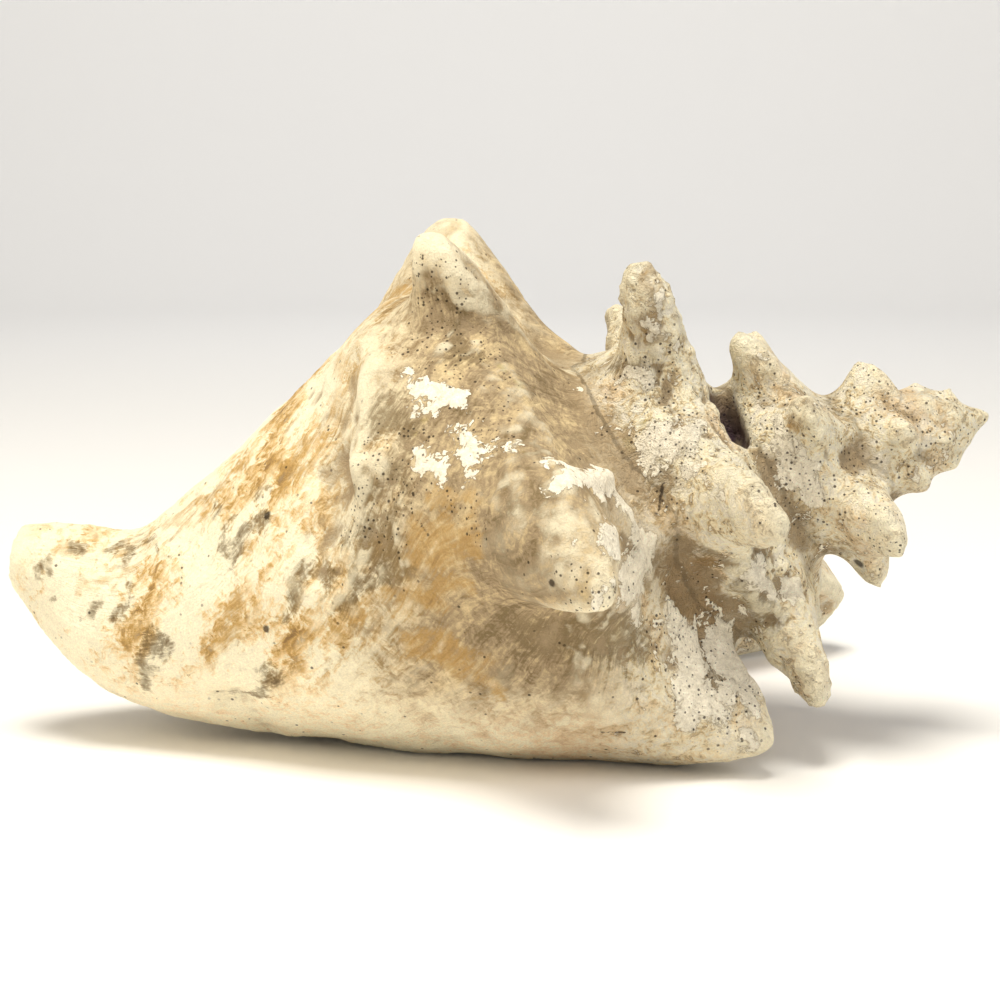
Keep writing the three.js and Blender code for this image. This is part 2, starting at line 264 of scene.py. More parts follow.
def knobTree():  # how far the knobs lift and lean the wall at an angle and a drop
    tree = bpy.data.node_groups.new("knobs", "GeometryNodeTree")
    for name in ("Angle", "Drop"):
        tree.interface.new_socket(name, in_out="INPUT", socket_type="NodeSocketFloat")
    for name in ("Lift", "Lean", "Twist"):
        tree.interface.new_socket(name, in_out="OUTPUT", socket_type="NodeSocketFloat")
    start = Wire(tree)
    given = start.node("NodeGroupInput", {}, {})
    angle, drop = Wire(tree, given.outputs["Angle"]), Wire(tree, given.outputs["Drop"])

    def pull(around, along, back, front, blunt):  # a cone, blunted to a finger
        far = around * around + (along / front).most(along * (-1.0 / back)) ** 2.0
        cone = (1.3 - 2.6 * (far + 0.25).math("SQRT")).math("EXPONENT")
        finger = 1.0 / (1.0 + 2.0 * far ** (1.5 + 2.0 * blunt))
        return cone * (1.0 - blunt) + finger * blunt

    lift, lean, twist = 0.0, 0.0, 0.0
    for place, height, width, back, front, slant, blunt, turn, foot in knobList:
        around = (angle - float(place)) * (math.radians(radiusAt(place)) / width)
        share = pull(around, drop - (dropAt(place) + foot), float(back), float(front), blunt)
        lift = share * float(height) + lift
        lean = share * float(slant) + lean
        twist = share * float(turn) + twist
    count = ((oldKnobs["first"] - angle) / oldKnobs["spacing"]).math("ROUND")
    place = oldKnobs["first"] - count * oldKnobs["spacing"]
    size = shellSettings["Shoulder Radius"] * shellSettings["Radius Growth"] ** (place / 360.0)
    level = shellSettings["Shoulder Drop"] * shellSettings["Drop Growth"] ** (place / 360.0)
    width = size * oldKnobs["width"]
    around = (angle - place) * (math.radians(1.0) / oldKnobs["width"])
    share = pull(around, (drop - level) / width, 1.0, 1.0, oldKnobs["blunt"])
    share = share * count.math("GREATER_THAN", -0.5)
    lift = share * size * oldKnobs["height"] + lift
    lean = share * width + lean
    start.node("NodeGroupOutput", {}, {"Lift": lift, "Lean": lean, "Twist": twist})
    return tree


def growthTree(knobs):
    tree = bpy.data.node_groups.new("shellGrowth", "GeometryNodeTree")
    tree.interface.new_socket("Geometry", in_out="INPUT", socket_type="NodeSocketGeometry")
    for name in shellSettings:
        tree.interface.new_socket(name, in_out="INPUT", socket_type="NodeSocketFloat")
    tree.interface.new_socket("Geometry", in_out="OUTPUT", socket_type="NodeSocketGeometry")
    start = Wire(tree)
    given = start.node("NodeGroupInput", {}, {})
    size = {name: Wire(tree, given.outputs[name]) for name in shellSettings}
    detail = growthDetail

    def knobsAt(angle, drop):
        made = start.node("GeometryNodeGroup", {"node_tree": knobs}, {"Angle": angle, "Drop": drop})
        return [Wire(tree, out) for out in made.outputs]

    def shoulder(angle):
        late = (angle - detail["slowFrom"]).most(0.0)
        slow = angle - late * late / detail["slowSpan"]
        radius = size["Shoulder Radius"] * size["Radius Growth"] ** (angle / 360.0)
        radius = radius + detail["tipThick"] - detail["tipThick"] * angle.smooth(-1700.0, -900.0)
        return radius, size["Shoulder Drop"] * size["Drop Growth"] ** (slow / 360.0)

    def sheet(columns, rows):
        mesh = start.wire(
            "GeometryNodeMeshGrid",
            {},
            {"Size X": 1.0, "Size Y": 1.0, "Vertices X": columns + 1, "Vertices Y": rows + 1},
        )
        x, y, _ = start.wire("GeometryNodeInputPosition", {}, {}).parts()
        return mesh, ((x + 0.5) * columns).math("ROUND"), ((y + 0.5) * rows).math("ROUND")

    def keep(mesh, values):
        for name, value in values.items():
            mesh = start.stored(mesh, name, value)
        return mesh

    def kept(name):
        return start.wire("GeometryNodeInputNamedAttribute", {"data_type": "FLOAT"}, {"Name": name})

    def rowDrop(angle, row, ramp, collar, side):
        _, own = shoulder(angle)
        seam = shoulder(angle - 360.0)[1] * detail["suture"]
        first = (row / float(ramp)).held()
        second = ((row - float(ramp)) / float(collar)).held()
        third = ((row - float(ramp + collar)) / float(side)).held()
        low = own * detail["suture"]
        return seam + (own - seam) * first + (low - own) * second + (size["Axis Length"] - low) * third

    # outside: every whorl, tucked into the one before it and closed at the canal
    tip = size["Lip Angle"] - size["Turns"] * 360.0
    columns = round(shellSettings["Turns"] * 360.0 / detail["columnStep"])
    rows = detail["rampRows"] + detail["collarRows"] + detail["sideRows"] + 2
    mesh, column, row = sheet(columns, rows)
    angle = tip + column * detail["columnStep"]
    last = row.math("GREATER_THAN", rows - 0.5)
    tuck = row.math("LESS_THAN", 0.5)
    reach = angle.smooth(tip - 20.0, tip + 50.0) * (1.0 - last) * (1.0 - tuck)
    drop = rowDrop(angle, row - 1.0, detail["rampRows"], detail["collarRows"], detail["sideRows"])
    drop = drop - tuck * 7.0
    outside = keep(mesh, {"angle": angle, "drop": drop, "reach": reach, "inset": 0.0, "inside": 0.0})

    # inside: round the lip's edge and back along the hollow
    lip = detail["lipColumns"]
    columns = lip + round(detail["hollowTurn"] / detail["hollowStep"])
    mesh, column, row = sheet(columns, detail["hollowRows"])
    edge = (column / float(lip)).held()
    around = edge * math.pi
    wound = (column - float(lip)).most(0.0) * detail["hollowStep"]
    angle = size["Lip Angle"] + around.math("SINE") * 2.0 - wound
    thick = size["Wall"] + (size["Lip Wall"] - size["Wall"]) * angle.smooth(120.0, size["Lip Angle"])
    inset = thick * (0.5 - around.math("COSINE") * 0.5)
    end = (column - (columns - 3.5)).most(0.0) / 3.5
    third = detail["hollowRows"] // 3
    drop = rowDrop(angle, row - 1.0, third, third // 3, detail["hollowRows"] - third - third // 3 - 2)
    drop = drop - (drop - 222.0).most(0.0) * edge
    shut = row.math("LESS_THAN", 0.5).most(row.math("GREATER_THAN", detail["hollowRows"] - 0.5))
    reach = (1.0 - end * 0.75) * (1.0 - shut)
    inside = keep(mesh, {"angle": angle, "drop": drop, "reach": reach, "inset": inset, "inside": edge})
    both = start.node("GeometryNodeJoinGeometry", {}, {})
    for part in (inside, outside):
        tree.links.new(part.socket, both.inputs[0])
    both = Wire(tree, both.outputs[0])

    # the section of a whorl: a hollow ramp, a rounded shoulder and a side that tapers to the canal
    def wallAt(angle, at, seamRadius, seamDrop):
        own, ownDrop = shoulder(angle)
        rounding = own * detail["rounding"]
        corner = own * (1.0 + detail["rounding"] / 8.0)
        canal = detail["canalRadius"] * detail["canalGrowth"] ** (angle / 360.0)
        canal = canal.least(own * detail["coreShare"])
        up = (at - seamDrop) / (ownDrop - seamDrop)
        high = up.held()
        sag = own * (4.0 * detail["rampHollow"]) * high * (1.0 - high)
        ramp = seamRadius + (corner - seamRadius) * up - sag
        down = ((at - ownDrop) / (size["Axis Length"] - ownDrop)).held()
        blunt = (1.0 - (size["Axis Length"] - at) / detail["canalEnd"]).most(0.0)
        taper = (1.0 - down ** 1.5).most(0.0) ** 1.5
        side = (canal + (corner - canal) * taper) * (1.0 - blunt * blunt * detail["canalBlunt"])
        near = (rounding - (ramp - side).math("ABSOLUTE")).most(0.0) / rounding
        return ramp.least(side) - near * near * rounding * 0.25, high, down

    flare, drop = kept("angle"), kept("drop")
    short = 1.0 - (drop - shoulder(flare)[1]).smooth(*detail["cornerReach"])
    angle = flare - (flare - detail["cornerFrom"]).most(0.0) * short * detail["cornerTurn"]
    before, beforeDrop = shoulder(angle - 720.0)
    seamDrop = shoulder(angle - 360.0)[1] * detail["suture"]
    seamLift, seamLean, _ = knobsAt(angle - 360.0, seamDrop)
    meets = wallAt(angle - 360.0, seamDrop, before * 0.97, beforeDrop * detail["suture"])[0]
    seamRadius = meets + seamLift - 0.8
    wing = flare.smooth(detail["flareFrom"], size["Lip Angle"] + 15.0)
    ownDrop = shoulder(angle)[1]

    def section(at):
        wall, high, down = wallAt(angle, at, seamRadius, seamDrop)
        fall = ((down / detail["flareReach"]).least(1.0) * (math.pi / 2.0)).math("COSINE")
        share = wing * (high * (math.pi / 2.0)).math("SINE") * fall * fall
        follow = seamLean * (1.0 - high) * (1.0 - high)
        return wall + size["Lip Spread"] * share, at - size["Lip Rise"] * share - follow

    radius, along = section(drop)
    radiusUp, alongUp = section(drop - 1.0)
    radiusDown, alongDown = section(drop + 1.0)
    outward, onward = alongDown - alongUp, radiusDown - radiusUp
    step = kept("inset") / (outward * outward + onward * onward).math("SQRT").most(0.01)
    lift, lean, twist = knobsAt(angle, drop)
    outer = 1.0 - kept("inside")
    ridge = angle.smooth(-5.0, 45.0) * (1.0 - angle.smooth(70.0, 100.0))
    ridge = ridge * (drop.smooth(112.0, 138.0) * (1.0 - drop.smooth(136.0, 152.0)))
    radius = (radius - outward * step).most(4.0) + (lift + ridge * detail["ridgeHeight"]) * outer
    along = along + onward * step - lean * outer

    # the slit in the spire and the groove under the canal
    first, second = [(angle - place).math("ABSOLUTE") for place in detail["slitAngles"]]
    off = (drop - detail["slitDrop"]).math("ABSOLUTE") / detail["slitHalfWidth"]
    off = off.most(first.least(second) / detail["slitHalfAngle"])
    slit = (1.0 - off.smooth(0.7, 1.2)) * outer
    guard = 1.0 - off.smooth(1.2, 3.0)
    groove = (angle - detail["grooveAngle"]) / detail["grooveWidth"]
    groove = (-groove ** 2.0).math("EXPONENT") * drop.smooth(166.0, 186.0) * outer
    radius = (radius - slit * detail["slitDepth"]) * (1.0 - groove * detail["grooveDepth"]) * kept("reach")

    # to the resting pose
    turned = (angle + twist * outer) * math.radians(1.0)
    rise, near = radius * turned.math("SINE"), radius * turned.math("COSINE")
    sweep = (along - detail["sweepFrom"]) / (size["Axis Length"] - detail["sweepFrom"])
    sweep = sweep.most(0.0)
    hook = ((along - detail["hookFrom"]) / detail["hookSpan"]).most(0.0)
    along = along - hook * rise * detail["hookTurn"]
    rise = rise + sweep * sweep * detail["sweepLift"] + hook * hook * detail["hookLift"]
    cos, sin = math.cos(math.radians(detail["axisTilt"])), math.sin(math.radians(detail["axisTilt"]))
    ox, oy, oz = detail["origin"]
    x = ox - along * cos - rise * sin
    y = oy - near
    z = (oz - along * sin + rise * cos).most(0.0)
    place = (x * 0.001).joined(y * 0.001, z * 0.001)
    past = drop - ownDrop * detail["suture"]  # beyond the seam with the next whorl
    under = angle.math("LESS_THAN", size["Lip Angle"] - 380.0) * past.smooth(1.0, 3.0)
    under = (under * (1.0 - guard)).most(kept("inside").smooth(0.6, 1.0))
    seam = (drop - seamDrop).math("ABSOLUTE").least(past.math("ABSOLUTE"))
    seam = 1.0 - seam.smooth(1.0, 9.0)
    made = keep(both, {"turn": angle / 360.0, "slit": slit, "guard": guard, "under": under, "seam": seam})
    made = start.wire("GeometryNodeSetPosition", {}, {"Geometry": made, "Position": place})
    made = start.wire("GeometryNodeRealizeInstances", {}, {"Geometry": made})
    made = start.wire("GeometryNodeSetMaterial", {}, {"Geometry": made})
    start.node("NodeGroupOutput", {}, {"Geometry": made})
    return tree


def giveNodes(piece, tree, values):  # a nodes modifier with its inputs set by identifier
    added = piece.modifiers.new(tree.name, "NODES")
    added.node_group = tree
    for item in tree.interface.items_tree:
        if item.item_type == "SOCKET" and item.in_out == "INPUT" and item.name in values:
            added[item.identifier] = values[item.name]
    return added


def plainMesh(piece, name):  # the modifiers' result as a mesh of its own
    graph = bpy.context.evaluated_depsgraph_get()
    shown = piece.evaluated_get(graph)
    mesh = bpy.data.meshes.new_from_object(shown, preserve_all_data_layers=True, depsgraph=graph)
    mesh.name = name
    piece.modifiers.clear()
    piece.data = mesh
    return mesh


growth = bpy.data.objects.new("growth", bpy.data.meshes.new("growth"))
bpy.context.collection.objects.link(growth)
giveNodes(growth, growthTree(knobTree()), shellSettings)
plainMesh(growth, "growth")
print("shell grown:", len(growth.data.polygons), "faces")


# Weathering, in millimetres
wearSettings = {
    "Swell": 1.5,
    "Lumps": 0.8,
    "Grain": 0.55,
    "Growth Lines": 0.5,
    "Erosion": 1.1,
    "Crust": 0.5,
}
# Ridges, folds and hollows: two ends, the half-width and the height
bodyForms = [
    ((-24, -10, 100), (-25, -39, 89), 4, 1.5),
    ((-25, -39, 89), (-26, -52, 69), 6, 1.5),
    ((-26, -52, 69), (-28, -54, 51), 7, 1.5),
    ((-30, -36, 87), (-32, -46, 68), 7, -2),
    ((-33, -47, 66), (-35, -50, 49), 7, -2),
    ((-40, -48, 45), (-33, -51, 44), 8, 1.5),
    ((13, -65, 34), (32, -57, 30), 10, -3),
    ((56, -39, 42), (61, -34, 36), 4, 1.5),
    ((62, -33, 28), (63, -30, 23), 4, 1.5),
    ((66, -30, 46), (68, -30, 43), 4, 1.5),
    ((53, -43, 48), (54, -47, 50), 4, 1.5),
    ((-57, -31, 12), (-54, -27, 5), 7, -2),
    ((33, -33, 113), (33, -33, 113), 4, -2),
    ((112, -9, 76), (112, -9, 76), 4, 2.2),
    ((-5, -22, 108), (-3, -28, 101), 5, -2.5),
    ((15, -79, 70), (23, -57, 67), 3, 1.2),
    ((23, -57, 67), (28, -55, 58), 3, 1.2),
    ((28, -55, 58), (32, -51, 48), 4, 1.2),
    ((-12, -63, 64), (3, -75, 67), 2.5, 0.8),
    ((-14, -62, 61), (0, -74, 64), 3, -0.8),
    ((45, -45, 49), (50, -37, 38), 6, -1.5),
]
# Zones of weathering and of painted light and shade, each along the line between two places, with its
# half-width
weatherZones = {
    "stain": [
        ((-75, -32, 28), (-78, -27, 15), 4),
        ((-80, -28, 37), (-85, -28, 29), 3),
        ((-99, -23, 34), (-99, -23, 30), 2),
        ((-47, -41, 22), (-54, -35, 16), 4),
        ((-90, -26, 35), (-93, -26, 33), 1.7),
        ((-102, -18, 45), (-103, -21, 36), 2.5),
        ((-97, -17, 47), (-87, -18, 46), 3),
        ((-89, -19, 45), (-81, -18, 47), 3),
        ((-62, -27, 58), (-64, -27, 54), 3),
        ((-54, -37, 54), (-58, -37, 47), 4),
        ((-51, -35, 60), (-51, -38, 56), 4),
        ((-36, -50, 46), (-42, -47, 40), 5),
        ((-25, -55, 46), (-30, -53, 41), 5),
        ((-76, -23, 48), (-72, -27, 46), 1.5),
    ],
    "ochre": [
        ((-88, -24, 39), (-78, -23, 46), 5),
        ((-75, -20, 51), (-58, -23, 64), 5),
        ((-42, -36, 69), (-32, -37, 82), 7),
        ((-32, -35, 84), (-24, -3, 102), 8),
        ((-37, -46, 59), (-37, -47, 59), 2.5),
        ((-55, -41, 41), (-59, -38, 29), 4),
        ((-42, -45, 26), (-42, -44, 24), 4),
        ((-26, -54, 40), (-33, -51, 35), 4),
        ((-21, -58, 51), (-4, -71, 57), 6),
        ((-22, -56, 42), (-4, -65, 46), 6),
        ((-13, -62, 64), (0, -74, 65), 3.5),
        ((41, -44, 47), (47, -37, 33), 6),
        ((-15, -57, 33), (-2, -58, 26), 6),
        ((64, -32, 83), (65, -34, 80), 5),
        ((-53, -39, 50), (-55, -39, 47), 4),
        ((-100, -18, 47), (-82, -20, 47), 4),
        ((33, -33, 111), (36, -34, 100), 5),
        ((-93, -25, 38), (-84, -25, 42), 3),
    ],
    "crust": [
        ((-12, -61, 70), (-4, -62, 75), 5),
        ((-5, -65, 69), (-3, -68, 68), 3.5),
        ((1, -66, 75), (6, -66, 76), 3),
        ((15, -80, 70), (23, -56, 67), 4),
        ((23, -62, 66), (28, -54, 59), 3.5),
        ((28, -55, 58), (32, -51, 50), 4),
        ((29, -57, 49), (31, -56, 42), 5),
        ((40, -43, 36), (41, -43, 31), 5),
        ((42, -45, 27), (45, -48, 18), 7),
        ((51, -35, 29), (54, -41, 21), 6),
        ((56, -43, 17), (59, -46, 11), 4),
        ((62, -29, 75), (65, -30, 71), 4),
        ((66, -30, 67), (68, -30, 65), 4),
        ((-15, -48, 87), (-9, -52, 85), 4),
        ((35, -35, 104), (37, -33, 100), 2.5),
        ((20, -24, 84), (20, -24, 84), 1.5),
        ((32, -29, 85), (33, -30, 84), 4),
        ((38, -42, 72), (41, -41, 74), 6),
        ((22, -93, 52), (23, -93, 50), 2),
        ((22, -90, 60), (27, -80, 57), 3),
        ((45, -50, 69), (47, -52, 64), 3),
        ((58, -41, 45), (66, -34, 38), 4),
    ],
    "pits": [
        ((-14, -35, 108), (-15, -38, 96), 8),
        ((-11, -45, 91), (-2, -42, 94), 7),
        ((-1, -54, 84), (1, -62, 78), 5),
        ((-18, -55, 76), (-15, -56, 76), 5),
        ((-21, -55, 72), (-20, -58, 63), 7),
        ((-5, -68, 64), (-2, -73, 61), 4),
        ((-25, -55, 59), (-20, -59, 59), 5),
        ((37, -31, 85), (43, -44, 73), 8),
        ((55, -25, 77), (66, -30, 57), 10),
        ((84, -38, 56), (89, -38, 51), 7),
        ((82, -13, 84), (83, -23, 68), 10),
        ((93, -20, 76), (103, -17, 74), 10),
        ((38, -45, 36), (45, -40, 30), 5),
        ((41, -49, 21), (53, -45, 17), 6),
        ((15, -88, 48), (20, -93, 51), 6),
    ],
    # the face of the knob behind the front one: its own warm colour, made lighter as painted light
    "warm": [
        ((-8, -2, 116), (6, -14, 101), 12),
        ((6, -14, 101), (18, -14, 90), 9),
    ],
    "olive": [
        ((30, -40, 71), (31, -41, 69), 2.5),
        ((1, -46, 90), (2, -47, 89), 3),
        ((-14, -52, 82), (-13, -53, 82), 2.5),
        ((-18, -54, 77), (-18, -54, 77), 2),
        ((10, -67, 75), (10, -67, 75), 2),
        ((43, -41, 41), (45, -39, 39), 4),
        ((35, -36, 78), (36, -40, 74), 3),
    ],
    # grime in the valleys, together with painted shade under the front knobs and beside the ridge below the
    # top knob
    "grime": [
        ((37, -44, 68), (43, -41, 41), 7),
        ((45, -48, 52), (53, -43, 48), 5),
        ((29, -25, 88), (33, -28, 88), 5),
        ((25, -93, 52), (27, -62, 41), 2),
        ((56, -40, 50), (59, -27, 27), 7),
        ((13, -66, 34), (32, -57, 34), 9),
        ((46, -39, 30), (48, -43, 22), 4),
        ((-20, -51, 80), (-22, -57, 51), 7),
        ((-8, -38, 104), (-5, -45, 93), 5),
        ((-5, -20, 109), (-4, -24, 106), 4),
    ],
}


def carryTree():  # the growth values, carried from the grown sheets to the one skin
    tree = bpy.data.node_groups.new("growthValues", "GeometryNodeTree")
    tree.interface.new_socket("Geometry", in_out="INPUT", socket_type="NodeSocketGeometry")
    tree.interface.new_socket("Growth", in_out="INPUT", socket_type="NodeSocketObject")
    tree.interface.new_socket("Geometry", in_out="OUTPUT", socket_type="NodeSocketGeometry")
    start = Wire(tree)
    given = start.node("NodeGroupInput", {}, {})
    mesh = Wire(tree, given.outputs["Geometry"])
    source = {"Object": Wire(tree, given.outputs["Growth"])}
    source = start.wire("GeometryNodeObjectInfo", {}, source, "Geometry")
    for name in ("turn", "drop", "inside", "slit", "guard", "under", "seam"):
        field = start.wire("GeometryNodeInputNamedAttribute", {"data_type": "FLOAT"}, {"Name": name})
        found = start.wire(
            "GeometryNodeSampleNearestSurface", {"data_type": "FLOAT"}, {"Mesh": source, "Value": field}
        )
        mesh = start.stored(mesh, name, found)
    start.node("NodeGroupOutput", {}, {"Geometry": mesh})
    return tree


def wearTree(finish):
    tree = bpy.data.node_groups.new("shellWear", "GeometryNodeTree")
    tree.interface.new_socket("Geometry", in_out="INPUT", socket_type="NodeSocketGeometry")
    for name in wearSettings:
        tree.interface.new_socket(name, in_out="INPUT", socket_type="NodeSocketFloat")
    tree.interface.new_socket("Geometry", in_out="OUTPUT", socket_type="NodeSocketGeometry")
    start = Wire(tree)
    given = start.node("NodeGroupInput", {}, {})
    mesh = Wire(tree, given.outputs["Geometry"])
    size = {name: Wire(tree, given.outputs[name]) for name in wearSettings}

    def kept(name):
        return start.wire("GeometryNodeInputNamedAttribute", {"data_type": "FLOAT"}, {"Name": name})

    def blurred(value, times, weight, kind="FLOAT"):
        return start.wire(
            "GeometryNodeBlurAttribute",
            {"data_type": kind},
            {"Value": value, "Iterations": times, "Weight": weight},
        )

    def place():
        return start.wire("GeometryNodeInputPosition", {}, {})

    # loose crumbs of the thinning go, and the seam between two whorls is filled
    island = start.wire("GeometryNodeInputMeshIsland", {}, {}, "Island Index")
    ones = {"Value": 1, "Group ID": island}
    count = start.wire("GeometryNodeAccumulateField", {"data_type": "INT"}, ones, "Total")
    crumbs = {"Geometry": mesh, "Selection": count.math("LESS_THAN", 100.0)}
    mesh = start.wire("GeometryNodeDeleteGeometry", {"domain": "POINT"}, crumbs)
    filled = (0.03 + 0.97 * kept("seam").held()) * (1.0 - kept("guard").held())
    filled = blurred(place(), 24, filled, "FLOAT_VECTOR")
    mesh = start.wire("GeometryNodeSetPosition", {}, {"Geometry": mesh, "Position": filled})

    # zones of weathering and of painted light and shade, with ragged borders
    spot = place().vector("SCALE", {"Scale": 1000.0})
    ragged = spot.bent(0.12, 20.0)
    for name, places in weatherZones.items():
        zone = 0.0
        for first, second, width in places:
            zone = (1.0 - ragged.gap(first, second).smooth(width * 0.2, width * 1.6)).most(zone)
        mesh = start.stored(mesh, name, zone)
    old = blurred(1.0 - kept("turn").smooth(-0.75, -0.35), 6, 1.0)
    mesh = start.stored(mesh, "old", old)

    # relief: swellings, lumps, growth lines, eroded old whorls and chalky crust
    old, outer = kept("old"), 1.0 - kept("inside").held()
    lines = (kept("turn") * 60.0 + kept("drop") * 0.16).joined(kept("drop") * 0.02, 0.0)
    height = size["Swell"] * spot.noise(0.04, 1.0)
    height = height + size["Lumps"] * spot.noise(0.13, 2.0) * (0.6 + old + kept("grime"))
    height = height + size["Grain"] * spot.noise(0.33, 2.0) * (0.4 + old * 1.6 + kept("grime"))
    height = height + size["Growth Lines"] * lines.noise(1.0, 2.0) * (1.0 - old)
    pits = 1.0 - spot.cells(0.3)[0].smooth(0.1, 0.42)
    height = height - size["Erosion"] * pits * old * spot.noise(0.06, 1.0).smooth(-0.4, 0.3)
    crust = (kept("crust") + spot.noise(0.35, 3.0, 0.6) * 0.4).smooth(0.45, 0.65)
    soft = spot.bent(0.1, 8.0)
    for first, second, width, lift in bodyForms:
        height = height + (1.0 - soft.gap(first, second).smooth(0.0, width * 1.5)) * lift
    height = (height + size["Crust"] * crust) * outer
    height = blurred(height, 8, kept("seam").held() * 0.8)
    normal = start.wire("GeometryNodeInputNormal", {}, {})
    move = normal.vector("SCALE", {"Scale": height * 0.001})
    mesh = start.wire("GeometryNodeSetPosition", {}, {"Geometry": mesh, "Offset": move})
    x, y, z = place().parts()
    mesh = start.wire("GeometryNodeSetPosition", {}, {"Geometry": mesh, "Position": x.joined(y, z.most(0.0))})

    # how far each spot stands out from its surroundings, close by and further off; the finish paints shade in
    # the hollows and highlights on what stands out from these
    for name, times in (("worn", 12), ("proud", 100)):
        around = place().vector("SUBTRACT", {1: blurred(place(), times, 1.0, "FLOAT_VECTOR")})
        mesh = start.stored(mesh, name, around.vector("DOT_PRODUCT", {1: normal}, "Value") * 1000.0)
    mesh = start.wire("GeometryNodeSetShadeSmooth", {}, {"Geometry": mesh})
    mesh = start.wire("GeometryNodeRealizeInstances", {}, {"Geometry": mesh})
    mesh = start.wire("GeometryNodeSetMaterial", {}, {"Geometry": mesh, "Material": finish})
    start.node("NodeGroupOutput", {}, {"Geometry": mesh})
    return tree


def linear(code):  # a colour picker's code as linear light
    parts = [int(code[i : i + 2], 16) / 255.0 for i in (1, 3, 5)]
    return (*[p / 12.92 if p <= 0.04045 else ((p + 0.055) / 1.055) ** 2.4 for p in parts], 1.0)


finishColours = {
    "ivory": "#fff5d6",
    "cream": "#f4e2ba",
    "peach": "#ebcd9a",
    "tan": "#c49d5c",
    "brown": "#8f7047",
    "fawn": "#dfc899",
    "stone": "#c8b188",
    "drab": "#a59070",
    "rose": "#f6ddb6",
    "clay": "#e3c298",
    "chalk": "#fdf4de",
    "ash": "#7f6c4b",
    "soot": "#4f3b24",
    "olive": "#a08d48",
    "pit": "#2b1e12",
    "pink": "#e8a791",
    "violet": "#5a4452",
}
# Colours from light to dark of each part of the shell
groundRamps = {
    "left": [
        (0.0, "ivory"),
        (0.46, "ivory"),
        (0.54, "cream"),
        (0.62, "peach"),
        (0.75, "tan"),
        (0.92, "brown"),
    ],
    "front": [(0.08, "cream"), (0.34, "fawn"), (0.54, "stone"), (0.74, "drab"), (0.98, "ash")],
    "low": [(0.2, "ivory"), (0.45, "rose"), (0.7, "clay"), (0.95, "drab")],
    "old": [
        (0.1, "chalk"),
        (0.34, "ivory"),
        (0.46, "cream"),
        (0.6, "fawn"),
        (0.72, "stone"),
        (0.88, "drab"),
        (1.0, "ash"),
    ],
}
# Small dark marks and cracks: two ends and the half-width, in millimetres
darkMarks = [
    ((83, -22, 44), (83, -22, 44), 1.3),
    ((-15, -61, 61), (-13, -63, 58), 0.4),
    ((-3, -62, 76), (-2, -67, 71), 0.25),
    ((37, -46, 65), (36, -48, 60), 0.4),
    ((11, -66, 38), (11, -66, 38), 0.8),
    ((13, -89, 52), (13, -89, 52), 0.8),
    ((24, -51, 12), (32, -51, 12), 0.25),
    ((-49, -38, 57), (-49, -38, 57), 0.9),
    ((-49, -44, 33), (-49, -44, 33), 0.8),
]


